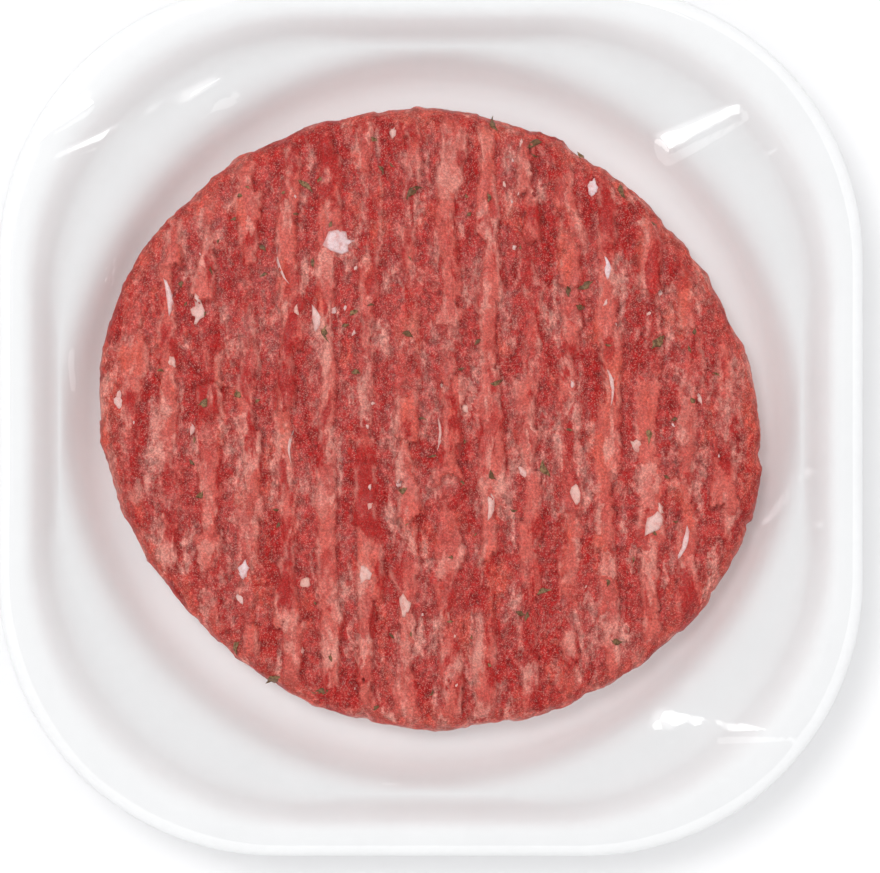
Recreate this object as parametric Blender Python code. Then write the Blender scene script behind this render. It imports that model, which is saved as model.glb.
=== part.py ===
"""Overwrapped meat tray pack: a foam tray, one ribbed raw beef burger and clear stretch film.

Metres, +Z up. The pack stands on z = 0 with the Z axis through its middle. The ribs on the
burger run along Y. Each sub-part is one closed object: tray, patty and film.
"""

import bpy
import bmesh
import numpy as np

# Clearance between neighbouring pieces, and the wall that stands for the thin film
GAP = 0.0003
FILM_WALL = 0.0003

# Tray: outer half size along X, how much further it reaches along Y, and its corner radius
TRAY_HALF = 0.0750
EXTRA_Y = 0.0007
CORNER_RADIUS = 0.0480
TRAY_BASE = FILM_WALL + GAP
RIM_TOP = 0.0176
FOAM = 0.0030
RIM_WIDTH = 0.0052
LIP_DROP = 0.0037
SHELF_HEIGHT = 0.0119
SHELF_DIP = 0.0006
WELL_TOP = 0.0638
WELL_FLOOR = 0.0594
SHELF_HALF = 0.0658

# Burger: a slightly oval disc with sixteen raised ribs
PATTY_RADIUS = 0.0558
PATTY_OVAL = 0.0024
PATTY_OVAL_TURN = np.radians(-23.0)
PATTY_SQUARE = 0.0007
PATTY_SQUARE_TURN = np.radians(-11.0)
PATTY_CENTRE = (-0.00035, 0.0001)
PATTY_TOP = 0.0149
PATTY_EDGE = 0.0055
PATTY_UNDER_EDGE = 0.0020
RIB_COUNT = 16
RIB_PITCH = 0.00697
RIB_HEIGHT = 0.0010
RIB_CREST = 0.0024
RIB_FOOT = 0.0046
RIB_WANDER = 0.0003

# Film: its flat top over the burger, and the window that is left open under the base
FILM_TOP = PATTY_TOP + GAP + FILM_WALL
FILM_FLAT = 0.0580
FILM_WINDOW = 0.0300

SEGMENTS = 64
CORNER_STEPS = 3

COLOURS = {
    "tray": ((0.86, 0.87, 0.89), 0.75),
    "patty": ((0.47, 0.10, 0.08), 0.35),
    "film": ((0.90, 0.92, 0.94), 0.08),
}


def clear_scene():
    for item in list(bpy.data.objects):
        bpy.data.objects.remove(item, do_unlink=True)


def finish(name, verts, faces):
    """Makes one closed object with outward faces and its own plain material."""
    mesh = bpy.data.meshes.new(name)
    mesh.from_pydata([tuple(v) for v in verts], [], faces)
    work = bmesh.new()
    work.from_mesh(mesh)
    bmesh.ops.recalc_face_normals(work, faces=work.faces)
    work.to_mesh(mesh)
    work.free()
    mesh.shade_smooth()
    mesh.set_sharp_from_angle(angle=np.radians(40.0))
    colour, roughness = COLOURS[name]
    material = bpy.data.materials.new(name)
    material.use_nodes = True
    shader = material.node_tree.nodes["Principled BSDF"]
    shader.inputs["Base Color"].default_value = (*colour, 1.0)
    shader.inputs["Roughness"].default_value = roughness
    shader.inputs["Metallic"].default_value = 0.0
    mesh.materials.append(material)
    item = bpy.data.objects.new(name, mesh)
    bpy.context.scene.collection.objects.link(item)
    return item


def level(half, height, square):
    """One level ring: a circle of radius half at square 0, the tray's rounded square at 1.

    Each point is found along its own ray from the middle: on a straight side where the ray
    meets one, else on the corner arc.
    """
    angle = np.arange(SEGMENTS) * 2.0 * np.pi / SEGMENTS
    cosine = np.abs(np.cos(angle))
    sine = np.abs(np.sin(angle))
    radius = (1.0 - square) * half + square * CORNER_RADIUS
    reach_y = half + square * EXTRA_Y
    middle_x = half - radius
    middle_y = reach_y - radius
    along = cosine * middle_x + sine * middle_y
    arc = along + np.sqrt(along**2 + radius**2 - middle_x**2 - middle_y**2)
    side_x = half / np.maximum(cosine, 1e-9)
    side_y = reach_y / np.maximum(sine, 1e-9)
    reach = np.where(side_y * cosine <= middle_x, side_y, arc)
    reach = np.where(side_x * sine <= middle_y, side_x, reach)
    heights = np.full(SEGMENTS, height)
    return np.column_stack((reach * np.cos(angle), reach * np.sin(angle), heights))


def soften(corners):
    """Rounds a profile: each inner corner (half, height, square, cut) becomes a short curve.

    The curve starts cut before the corner, is pulled towards it, and ends cut after it.
    """
    points = np.array([corner[:3] for corner in corners])
    cuts = [corner[3] for corner in corners]
    profile = [points[0]]
    for k in range(1, len(points) - 1):
        before = points[k - 1] - points[k]
        after = points[k + 1] - points[k]
        start = points[k] + before * cuts[k] / np.hypot(before[0], before[1])
        end = points[k] + after * cuts[k] / np.hypot(after[0], after[1])
        for t in np.linspace(0.0, 1.0, CORNER_STEPS):
            pulled = 2.0 * t * (1.0 - t) * points[k]
            profile.append((1.0 - t) ** 2 * start + pulled + t**2 * end)
    profile.append(points[-1])
    return np.array(profile)


def loft(profile):
    """Joins the profile's level rings with quads and caps both ends with flat faces."""
    rings = [level(*point) for point in profile]
    verts = np.vstack(rings)
    faces = []
    for ring in range(len(rings) - 1):
        for k in range(SEGMENTS):
            low = ring * SEGMENTS
            high = low + SEGMENTS
            nearby = (k + 1) % SEGMENTS
            faces.append((low + k, low + nearby, high + nearby, high + k))
    last = (len(rings) - 1) * SEGMENTS
    faces.append(tuple(range(SEGMENTS)))
    faces.append(tuple(range(last, last + SEGMENTS)))
    return verts, faces


def make_tray():
    """A round well in a rounded square: floor, wall, corner shelf, steep wall, rim and lip."""
    floor = TRAY_BASE + FOAM
    shelf = SHELF_HEIGHT
    rim_inner = TRAY_HALF - RIM_WIDTH
    lip = RIM_TOP - LIP_DROP
    under_shelf = shelf - FOAM
    corners = [
        (0.9 * WELL_FLOOR, floor, 0.0, 0.0),
        (WELL_FLOOR, floor, 0.0, 0.0030),
        (WELL_TOP, shelf - SHELF_DIP, 0.0, 0.0010),
        (SHELF_HALF, shelf, 1.0, 0.0009),
        (rim_inner, RIM_TOP, 1.0, 0.0016),
        (TRAY_HALF, RIM_TOP, 1.0, 0.0017),
        (TRAY_HALF, lip, 1.0, 0.0008),
        (rim_inner + 0.7 * FOAM, lip, 1.0, 0.0006),
        (SHELF_HALF + FOAM, under_shelf, 1.0, 0.0009),
        (WELL_TOP + 0.7 * FOAM, under_shelf, 0.0, 0.0007),
        (WELL_FLOOR + 0.8 * FOAM, TRAY_BASE, 0.0, 0.0020),
        (0.9 * WELL_FLOOR, TRAY_BASE, 0.0, 0.0),
    ]
    verts, faces = loft(soften(corners))
    return finish("tray", verts, faces)


def offset(profile, distance):
    """Moves a profile sideways by distance, outwards on the right of its direction."""
    step = np.gradient(profile[:, :2], axis=0)
    length = np.hypot(step[:, 0], step[:, 1])
    moved = profile.copy()
    moved[:, 0] += distance * step[:, 1] / length
    moved[:, 1] -= distance * step[:, 0] / length
    return moved


def make_film():
    """Clear wrap: over the rim, slack onto the burger, straight to the base and under it."""
    skin = GAP + 0.5 * FILM_WALL
    underside = 0.5 * FILM_WALL
    base_edge = WELL_FLOOR + 0.8 * FOAM + skin
    side = TRAY_HALF + skin
    over_rim = RIM_TOP + skin
    top = FILM_TOP - 0.5 * FILM_WALL
    corners = [
        (FILM_WINDOW, underside, 0.0, 0.0),
        (base_edge, underside, 0.0, 0.0024),
        (side, RIM_TOP - LIP_DROP - 0.0002, 1.0, 0.0010),
        (side, over_rim, 1.0, 0.0021),
        (TRAY_HALF - RIM_WIDTH, over_rim, 1.0, 0.0020),
        (FILM_FLAT, top, 0.0, 0.0060),
        (0.5 * FILM_FLAT, top, 0.0, 0.0),
    ]
    middle = soften(corners)
    outside = offset(middle, 0.5 * FILM_WALL)
    inside = offset(middle, -0.5 * FILM_WALL)
    verts, faces = loft(np.vstack((inside[::-1], outside)))
    return finish("film", verts, faces)


def patty_reach(angle):
    """Distance from the burger's middle to its edge: a circle made oval and a little square."""
    oval = PATTY_OVAL * np.cos(2.0 * (angle - PATTY_OVAL_TURN))
    square = PATTY_SQUARE * np.cos(4.0 * (angle - PATTY_SQUARE_TURN))
    return PATTY_RADIUS + oval + square


def patty_columns():
    """The X places of the grid: two on each flank of every rib, and three at each end."""
    crest = 0.5 * RIB_CREST
    foot = 0.5 * RIB_FOOT
    middles = (np.arange(RIB_COUNT) - 0.5 * (RIB_COUNT - 1)) * RIB_PITCH
    ribs = (middles[:, None] + np.array([-foot, -crest, crest, foot])).ravel()
    end = PATTY_RADIUS + 0.8 * PATTY_OVAL
    ends = np.array([end - 0.0008, end])
    heights = np.tile([0.0, 1.0, 1.0, 0.0], RIB_COUNT)
    columns = np.concatenate((-ends[::-1], ribs, ends))
    return columns, np.concatenate((np.zeros(2), heights, np.zeros(2)))


def make_patty():
    """A disc of minced meat whose ribs fade out in a smooth band along its rounded edge."""
    columns, rib = patty_columns()
    angle = np.linspace(-np.pi, np.pi, 721)
    edge_x = patty_reach(angle) * np.cos(angle)
    edge_y = patty_reach(angle) * np.sin(angle)
    upper = angle >= 0.0
    back = np.interp(columns, edge_x[upper][::-1], edge_y[upper][::-1])
    front = np.interp(columns, edge_x[~upper], edge_y[~upper])
    across = np.array([0.0, 0.008, 0.03, 0.08, 0.2, 0.36, 0.5, 0.64, 0.8, 0.92, 0.97, 0.992, 1.0])
    x, share = np.meshgrid(columns, across, indexing="ij")
    y = front[:, None] + share * (back - front)[:, None]
    x = x + RIB_WANDER * np.sin(y / 0.009 + x / 0.004) * (np.abs(x) < 0.054)
    inward = patty_reach(np.arctan2(y, x)) - np.hypot(x, y)
    rise = np.clip(inward / PATTY_EDGE, 0.0, 1.0)
    shoulder = np.sqrt(1.0 - (1.0 - rise) ** 2)
    waist = TRAY_BASE + FOAM + GAP + 0.4 * (PATTY_TOP - TRAY_BASE - FOAM - GAP)
    dip = RIB_HEIGHT * (1.0 - rib[:, None]) * np.clip(inward / PATTY_EDGE - 0.2, 0.0, 1.0)
    z = waist + (PATTY_TOP - waist) * shoulder - dip
    rows = len(across)
    top = np.column_stack((x.ravel(), y.ravel(), z.ravel()))
    faces = []
    for i in range(len(columns) - 1):
        for j in range(rows - 1):
            k = i * rows + j
            faces.append((k, k + rows, k + rows + 1, k + 1))
    last = (len(columns) - 1) * rows
    border = list(range(0, last, rows))
    border += list(range(last, last + rows - 1))
    border += list(range(last + rows - 1, rows - 1, -rows))
    border += list(range(rows - 1, 0, -1))
    bottom = TRAY_BASE + FOAM + GAP
    verts = [top]
    start = len(top)
    previous = border
    for inset, height in ((0.0, bottom + PATTY_UNDER_EDGE), (PATTY_UNDER_EDGE, bottom)):
        ring = top[border].copy()
        ring[:, :2] *= 1.0 - inset / PATTY_RADIUS
        ring[:, 2] = height
        verts.append(ring)
        current = list(range(start, start + len(border)))
        for k in range(len(border)):
            nearby = (k + 1) % len(border)
            faces.append((previous[k], previous[nearby], current[nearby], current[k]))
        previous = current
        start += len(border)
    faces.append(tuple(previous))
    verts = np.vstack(verts)
    verts[:, :2] += PATTY_CENTRE
    return finish("patty", verts, faces)


def build():
    clear_scene()
    make_tray()
    make_patty()
    make_film()


build()
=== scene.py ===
"""Overwrapped burger pack: foam tray, ribbed raw beef burger, herbs, fat and clear stretch film.

Laid out as an add-on and run as a script. Metres, +Z up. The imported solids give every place.
"""

import bpy
import numpy as np
from bpy.props import FloatProperty, FloatVectorProperty, IntProperty, PointerProperty
from bpy.types import Operator, Panel, PropertyGroup
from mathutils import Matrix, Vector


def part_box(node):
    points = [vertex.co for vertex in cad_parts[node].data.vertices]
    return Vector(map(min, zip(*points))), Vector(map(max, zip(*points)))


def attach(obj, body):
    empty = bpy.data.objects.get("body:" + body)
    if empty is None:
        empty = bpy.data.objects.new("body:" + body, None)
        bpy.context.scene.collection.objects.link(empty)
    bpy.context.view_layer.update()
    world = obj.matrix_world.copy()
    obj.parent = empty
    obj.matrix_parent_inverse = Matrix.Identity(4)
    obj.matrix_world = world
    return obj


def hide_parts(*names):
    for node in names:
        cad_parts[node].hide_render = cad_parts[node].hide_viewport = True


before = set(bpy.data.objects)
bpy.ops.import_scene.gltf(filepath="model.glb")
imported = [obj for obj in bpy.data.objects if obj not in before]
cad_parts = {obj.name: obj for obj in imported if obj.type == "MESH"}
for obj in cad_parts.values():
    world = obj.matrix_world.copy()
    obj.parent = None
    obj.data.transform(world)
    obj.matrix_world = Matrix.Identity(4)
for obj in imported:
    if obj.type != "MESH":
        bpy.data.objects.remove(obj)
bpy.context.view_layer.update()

bl_info = {
    "name": "Overwrapped Burger Pack",
    "version": (1, 0, 0),
    "blender": (4, 5, 0),
    "location": "View3D > Sidebar > Burger Pack",
    "description": "Builds a foam tray with a ribbed raw burger under clear film",
    "category": "Add Mesh",
}

MM = 0.001
TRAY_BOX = np.array(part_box("tray"))
PATTY_BOX = np.array(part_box("patty"))
TRAY_HALF = float(TRAY_BOX[1, 0])
TRAY_EXTRA_Y = float(TRAY_BOX[1, 1] - TRAY_BOX[1, 0])
RIM_TOP = float(TRAY_BOX[1, 2])
PATTY_CENTRE = 0.5 * (PATTY_BOX[0] + PATTY_BOX[1])


# ---------------------------------------------------------------- noise on arrays


def scramble(i, j, seed):
    """A repeatable number from 0 to 1 for every whole-number cell (i, j)."""
    i = np.asarray(i).astype(np.int64)
    j = np.asarray(j).astype(np.int64)
    mixed = (i * 374761393 + j * 668265263 + seed * 974711) & 0xFFFFFFFF
    mixed = ((mixed ^ (mixed >> 13)) * 1274126177) & 0xFFFFFFFF
    mixed = mixed ^ (mixed >> 16)
    return (mixed & 0xFFFFFF) / float(0xFFFFFF)


def ease(t):
    """Smooth step from 0 to 1, flat at both ends."""
    t = np.clip(t, 0.0, 1.0)
    return t * t * (3.0 - 2.0 * t)


def noise(x, y, seed):
    """Value noise from -1 to 1: random corner values blended smoothly across each cell."""
    i = np.floor(x)
    j = np.floor(y)
    u = ease(x - i)
    v = ease(y - j)
    low = scramble(i, j, seed) * (1 - u) + scramble(i + 1, j, seed) * u
    high = scramble(i, j + 1, seed) * (1 - u) + scramble(i + 1, j + 1, seed) * u
    return 2.0 * (low * (1 - v) + high * v) - 1.0


def layered(x, y, seed, layers=3):
    """Several noises added, each half as large and twice as fine as the one before."""
    total = 0.0
    share = 0.5
    for k in range(layers):
        total = total + share * noise(x * 2.0**k, y * 2.0**k, seed + 31 * k)
        share *= 0.5
    return total / (1.0 - 0.5**layers)


def lumps(x, y, seed):
    """Packed lumps: distance to the nearest lump's middle, how far the next one is beyond it,
    and a random tone for the nearest lump."""
    i = np.floor(x)
    j = np.floor(y)
    first = np.full(np.shape(x), 9.0)
    second = first.copy()
    tone = np.zeros(np.shape(x))
    for di in (-1, 0, 1):
        for dj in (-1, 0, 1):
            px = i + di + scramble(i + di, j + dj, seed)
            py = j + dj + scramble(i + di, j + dj, seed + 7)
            far = np.hypot(x - px, y - py)
            nearer = far < first
            second = np.where(nearer, first, np.minimum(second, far))
            tone = np.where(nearer, scramble(i + di, j + dj, seed + 13), tone)
            first = np.where(nearer, far, first)
    return first, second - first, tone


# ---------------------------------------------------------------- meshes and nodes


def make_piece(name, verts, faces, material, body, replaces=None, attributes=None):
    """A smooth mesh piece at the origin that rides on a body, with optional point values."""
    mesh = bpy.data.meshes.new(name)
    mesh.from_pydata(verts.tolist(), [], faces)
    mesh.update()
    mesh.shade_smooth()
    for label, values in (attributes or {}).items():
        layer = mesh.attributes.new(label, "FLOAT", "POINT")
        layer.data.foreach_set("value", np.asarray(values, np.float32).ravel())
    mesh.materials.append(material)
    piece = bpy.data.objects.new(name, mesh)
    bpy.context.scene.collection.objects.link(piece)
    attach(piece, body)
    if replaces:
        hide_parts(replaces)
    return piece


def grid_faces(rows, columns, wrap):
    """Quads of a grid stored row by row; wrap joins each row's last column to its first."""
    i = np.arange(rows - 1)[:, None]
    j = np.arange(columns if wrap else columns - 1)[None, :]
    after = (j + 1) % columns
    a = i * columns + j
    b = i * columns + after
    quads = np.stack((a, b, b + columns, a + columns), axis=-1)
    return quads.reshape(-1, 4)


class Nodes:
    """Short ways to add nodes to a tree and join them."""

    def __init__(self, tree):
        self.tree = tree

    def add(self, kind, **settings):
        node = self.tree.nodes.new(kind)
        for key, value in settings.items():
            setattr(node, key, value)
        return node

    def link(self, source, target):
        self.tree.links.new(source, target)

    def put(self, socket, value):
        if isinstance(value, bpy.types.NodeSocket):
            self.link(value, socket)
        else:
            socket.default_value = value

    def math(self, operation, a, b=0.0, clamp=False):
        node = self.add("ShaderNodeMath", operation=operation, use_clamp=clamp)
        self.put(node.inputs[0], a)
        self.put(node.inputs[1], b)
        return node.outputs[0]

    def mix(self, factor, a, b, blend="MIX"):
        node = self.add("ShaderNodeMix", data_type="RGBA", blend_type=blend)
        self.put(node.inputs["Factor"], factor)
        self.put(node.inputs["A"], a if not isinstance(a, tuple) else (*a, 1.0))
        self.put(node.inputs["B"], b if not isinstance(b, tuple) else (*b, 1.0))
        return node.outputs["Result"]

    def noise(self, vector, scale, detail=2.0, roughness=0.5, distortion=0.0):
        node = self.add("ShaderNodeTexNoise")
        self.link(vector, node.inputs["Vector"])
        node.inputs["Scale"].default_value = scale
        node.inputs["Detail"].default_value = detail
        node.inputs["Roughness"].default_value = roughness
        node.inputs["Distortion"].default_value = distortion
        return node.outputs["Fac"]

    def between(self, value, low, high, start=0.0, end=1.0):
        node = self.add("ShaderNodeMapRange", interpolation_type="SMOOTHSTEP")
        self.put(node.inputs["Value"], value)
        node.inputs["From Min"].default_value = low
        node.inputs["From Max"].default_value = high
        node.inputs["To Min"].default_value = start
        node.inputs["To Max"].default_value = end
        return node.outputs["Result"]

    def attribute(self, name):
        return self.add("ShaderNodeAttribute", attribute_name=name).outputs["Fac"]

    def object_place(self, stretch=(1.0, 1.0, 1.0)):
        place = self.add("ShaderNodeTexCoord").outputs["Object"]
        mapping = self.add("ShaderNodeMapping")
        mapping.inputs["Scale"].default_value = stretch
        self.link(place, mapping.inputs["Vector"])
        return mapping.outputs["Vector"]


def new_material(name):
    """A material with an empty Principled shader: returns it, its nodes and the shader."""
    material = bpy.data.materials.new(name)
    material.use_nodes = True
    shader = material.node_tree.nodes["Principled BSDF"]
    return material, Nodes(material.node_tree), shader


def grain_group():
    """Shared grain: uneven value between two limits and a fine height, from object places."""
    known = bpy.data.node_groups.get("Soft grain")
    if known:
        return known
    group = bpy.data.node_groups.new("Soft grain", "ShaderNodeTree")
    face = group.interface
    for label, default in (("Scale", 400.0), ("Low", 0.9), ("High", 1.1)):
        socket = face.new_socket(label, in_out="INPUT", socket_type="NodeSocketFloat")
        socket.default_value = default
    face.new_socket("Place", in_out="INPUT", socket_type="NodeSocketVector")
    face.new_socket("Value", in_out="OUTPUT", socket_type="NodeSocketFloat")
    face.new_socket("Height", in_out="OUTPUT", socket_type="NodeSocketFloat")
    nodes = Nodes(group)
    given = nodes.add("NodeGroupInput")
    result = nodes.add("NodeGroupOutput")
    coarse = nodes.add("ShaderNodeTexNoise")
    coarse.inputs["Detail"].default_value = 3.0
    nodes.link(given.outputs["Place"], coarse.inputs["Vector"])
    nodes.link(given.outputs["Scale"], coarse.inputs["Scale"])
    spread = nodes.add("ShaderNodeMapRange")
    nodes.link(coarse.outputs["Fac"], spread.inputs["Value"])
    spread.inputs["From Min"].default_value = 0.3
    spread.inputs["From Max"].default_value = 0.7
    nodes.link(given.outputs["Low"], spread.inputs["To Min"])
    nodes.link(given.outputs["High"], spread.inputs["To Max"])
    nodes.link(spread.outputs["Result"], result.inputs["Value"])
    nodes.link(coarse.outputs["Fac"], result.inputs["Height"])
    return group


def add_grain(nodes, place, scale, low, high):
    """Places the shared grain group and returns its value and height outputs."""
    node = nodes.add("ShaderNodeGroup", node_tree=grain_group())
    nodes.link(place, node.inputs["Place"])
    node.inputs["Scale"].default_value = scale
    node.inputs["Low"].default_value = low
    node.inputs["High"].default_value = high
    return node.outputs["Value"], node.outputs["Height"]


# ---------------------------------------------------------------- sizes and colours


def length(name, description, default):
    return FloatProperty(
        name=name, description=description, default=default, unit="LENGTH", subtype="DISTANCE"
    )


def colour(name, description, default):
    return FloatVectorProperty(
        name=name, description=description, default=default, size=3, subtype="COLOR", min=0, max=1
    )


def share(name, description, default):
    return FloatProperty(name=name, description=description, default=default, subtype="FACTOR")


class TrayLook(PropertyGroup):
    corner_radius: length("Corner radius", "Radius of the tray's four corners", 0.048)
    foam: length("Foam", "Thickness of the foam wall", 0.003)
    rim_width: length("Rim width", "Flat width of the rim along the sides", 0.0052)
    lip_drop: length("Lip drop", "Height of the rim's outer edge", 0.0037)
    shelf_height: length("Shelf height", "Height of the corner shelves", 0.0119)
    base: length("Base height", "Height of the foam's underside over the table", 0.0002)
    # Glow is painted light: an emission from the foam in the well that lightens the shade there.
    glow: share("Glow", "Light that comes through the foam in the well", 0.15)
    # Dimming is painted shade: the foam below the rim top is darkened where shade falls.
    painted_shade_below_rim: share("Dimming", "How much dimmer the foam is below the rim", 0.10)
    shelf_half: length("Shelf half", "Half distance between the steep walls' feet", 0.0658)
    well_top: length("Well top", "Radius of the round well at its brim", 0.0638)
    well_floor: length("Well floor", "Radius of the round well at its floor", 0.0594)
    foam_colour: colour("Foam colour", "White of the foam", (0.87, 0.875, 0.885))
    grain: length("Grain height", "Height of the foam's grain", 0.00003)


class PattyLook(PropertyGroup):
    radius: length("Radius", "Mean radius of the burger", 0.0558)
    oval: length("Oval", "How far the burger is drawn out", 0.0024)
    square: length("Square", "How far it leans to a square", 0.0006)
    rib_count: IntProperty(name="Ribs", description="Number of raised ribs", default=16)
    rib_pitch: length("Rib pitch", "Distance from rib to rib", 0.00697)
    rib_half: length("Rib half width", "Half the width of a rib's crest", 0.0017)
    rib_height: length("Rib height", "Height of the ribs over the grooves", 0.0009)
    rounding: length("Edge rounding", "Width of the rounded edge", 0.0052)
    rib_colour: colour("Rib colour", "Salmon of the ribs", (0.68, 0.132, 0.102))
    groove_colour: colour("Groove colour", "Dull red of the grooves", (0.52, 0.050, 0.043))
    # Deep red is the meat's own dark red in patches, clots and specks, and also the painted shadow
    # at the ribs' feet.
    deep_colour: colour("Deep red", "Wet red creases", (0.42, 0.006, 0.006))
    coral_colour: colour("Coral", "Smooth orange red of the edge", (0.73, 0.112, 0.070))
    # Pale is the fat's pink in patches and specks, and also the painted highlight along the ribs'
    # lips.
    pale_colour: colour("Pale", "Pale pink, where fat is mixed in", (0.86, 0.38, 0.31))
    mauve_colour: colour("Mauve", "Grey purple grain", (0.43, 0.076, 0.068))


class ToppingLook(PropertyGroup):
    herb_count: IntProperty(name="Herbs", description="Number of herb flecks", default=70)
    herb_size: length("Herb size", "Typical length of a herb fleck", 0.0023)
    fat_count: IntProperty(name="Fat bits", description="Number of fat bits", default=46)
    fat_size: length("Fat size", "Typical length of a fat bit", 0.0018)
    herb_colour: colour("Herb colour", "Olive brown of dried herbs", (0.34, 0.20, 0.09))
    herb_dark: colour("Dark herb", "Darker side of the herbs", (0.12, 0.05, 0.018))
    fat_colour: colour("Fat colour", "Pale pink fat", (0.84, 0.47, 0.39))
    lilac_colour: colour("Lilac", "Lilac white fat", (0.86, 0.66, 0.68))
    stain_colour: colour("Stain", "Pink where meat juice stains the fat", (0.70, 0.24, 0.20))


class FilmLook(PropertyGroup):
    wall: length("Film wall", "Thickness of the modelled film", 0.00005)
    flat: length("Flat radius", "Where the film comes down onto the burger", 0.058)
    window: length("Window", "Radius left open under the base", 0.030)
    pleat: length("Pleats", "Depth of the pleats down the sides", 0.0004)
    mirror: share("Mirror", "Share of light mirrored straight back", 0.04)


class StageLook(PropertyGroup):
    camera_height: length("Camera height", "Camera over the rim", 0.6350)
    lens: FloatProperty(name="Lens", description="Focal length in mm", default=150.0)
    key_power: FloatProperty(name="Key light", description="Power of the key in watts", default=3.6)
    fill: FloatProperty(name="Fill", description="Strength of the surrounding light", default=0.98)
    gleam: FloatProperty(name="Gleam", description="Glow of the cards in the film", default=3.5)
    floor_colour: colour("Floor", "White of the floor", (0.85, 0.85, 0.86))
    floor_lift: FloatProperty(name="Floor lift", description="Light the floor adds", default=0.10)


# ---------------------------------------------------------------- tray


def level_rings(half, height, square, corner_radius, count):
    """Level rings: circles of radius half at square 0, the tray's rounded square at 1.

    Every point lies on its own ray from the middle: on a straight side where the ray meets
    one, else on the corner arc. Returns an array (levels, count, 3).
    """
    angle = np.arange(count)[None, :] * 2.0 * np.pi / count
    half, height, square = (np.asarray(v)[:, None] for v in (half, height, square))
    cosine = np.abs(np.cos(angle))
    sine = np.abs(np.sin(angle))
    radius = (1.0 - square) * half + square * corner_radius
    reach_y = half + square * TRAY_EXTRA_Y
    middle_x = half - radius
    middle_y = reach_y - radius
    along = cosine * middle_x + sine * middle_y
    arc = along + np.sqrt(np.maximum(along**2 + radius**2 - middle_x**2 - middle_y**2, 0.0))
    side_x = half / np.maximum(cosine, 1e-9)
    side_y = reach_y / np.maximum(sine, 1e-9)
    reach = np.where(side_y * cosine <= middle_x, side_y, arc)
    reach = np.where(side_x * sine <= middle_y, side_x, reach)
    return np.stack(
        (reach * np.cos(angle), reach * np.sin(angle), height + 0.0 * reach), axis=-1
    )


def soften(corners, steps, spacing):
    """Rounds a profile's inner corners, each (half, height, square, cut before, cut after),
    with curves that start and end those cuts away from them, and fills its straight runs
    with points about spacing apart."""
    points = np.array([corner[:3] for corner in corners])
    before_cuts = [corner[3] for corner in corners]
    after_cuts = [corner[-1] for corner in corners]
    bends = [points[:1]]
    for k in range(1, len(points) - 1):
        before = points[k - 1] - points[k]
        after = points[k + 1] - points[k]
        start = points[k] + before * before_cuts[k] / np.hypot(before[0], before[1])
        end = points[k] + after * after_cuts[k] / np.hypot(after[0], after[1])
        t = np.linspace(0.0, 1.0, steps)[:, None]
        bends.append((1 - t) ** 2 * start + 2 * t * (1 - t) * points[k] + t**2 * end)
    bends.append(points[-1:])
    profile = []
    for bend, following in zip(bends[:-1], bends[1:]):
        run = following[0] - bend[-1]
        pieces = max(1, int(np.hypot(run[0], run[1]) / spacing))
        t = np.linspace(0.0, 1.0, pieces + 1)[1:-1, None]
        profile += [bend, bend[-1] + t * run]
    profile.append(bends[-1])
    return np.vstack(profile)


def offset(profile, distance):
    """Moves a profile sideways by distance, outwards on the right of its direction."""
    step = np.gradient(profile[:, :2], axis=0)
    size = np.maximum(np.hypot(step[:, 0], step[:, 1]), 1e-12)
    moved = profile.copy()
    moved[:, 0] += distance * step[:, 1] / size
    moved[:, 1] -= distance * step[:, 0] / size
    return moved


def closed_loft(rings):
    """Vertices and faces of stacked rings, closed by a fan round a middle point at each end."""
    levels, count, _ = rings.shape
    verts = rings.reshape(-1, 3)
    faces = grid_faces(levels, count, wrap=True).tolist()
    ends = np.vstack((rings[0].mean(axis=0), rings[-1].mean(axis=0)))
    k = np.arange(count)
    after = (k + 1) % count
    start = np.column_stack((np.full(count, levels * count), after, k))
    top = (levels - 1) * count
    end = np.column_stack((np.full(count, levels * count + 1), top + k, top + after))
    faces += start.tolist() + end.tolist()
    return np.vstack((verts, ends)), faces


def foam_material(look):
    """Expanded foam: satin white with a fine grain and faint cloudy change of tone."""
    material, nodes, shader = new_material("White tray foam")
    place = nodes.object_place()
    value, height = add_grain(nodes, place, 900.0, 0.975, 1.0)
    cloud = nodes.between(nodes.noise(place, 90.0, 3.0), 0.3, 0.7, 0.985, 1.0)
    # Painted shade: the foam's colour is darkened below the rim top, on the shelves, walls and
    # well.
    below = nodes.math("MULTIPLY_ADD", nodes.attribute("below"), -look.painted_shade_below_rim)
    below.node.inputs[2].default_value = 1.0
    tone = nodes.math("MULTIPLY", nodes.math("MULTIPLY", value, cloud), below)
    nodes.put(
        shader.inputs["Base Color"],
        nodes.mix(1.0, tuple(look.foam_colour), tone, "MULTIPLY"),
    )
    nodes.put(shader.inputs["Roughness"], nodes.between(height, 0.3, 0.7, 0.55, 0.7))
    bump = nodes.add("ShaderNodeBump")
    bump.inputs["Distance"].default_value = look.grain
    bump.inputs["Strength"].default_value = 0.6
    nodes.link(height, bump.inputs["Height"])
    nodes.link(bump.outputs["Normal"], shader.inputs["Normal"])
    # Painted light: the foam in the well glows, lightening the shade between the burger and the
    # well's wall.
    glow = nodes.math("MULTIPLY", nodes.attribute("well"), look.glow)
    shader.inputs["Emission Color"].default_value = (0.96, 1.0, 1.0, 1.0)
    nodes.put(shader.inputs["Emission Strength"], glow)
    shader.inputs["IOR"].default_value = 1.45
    return material


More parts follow.
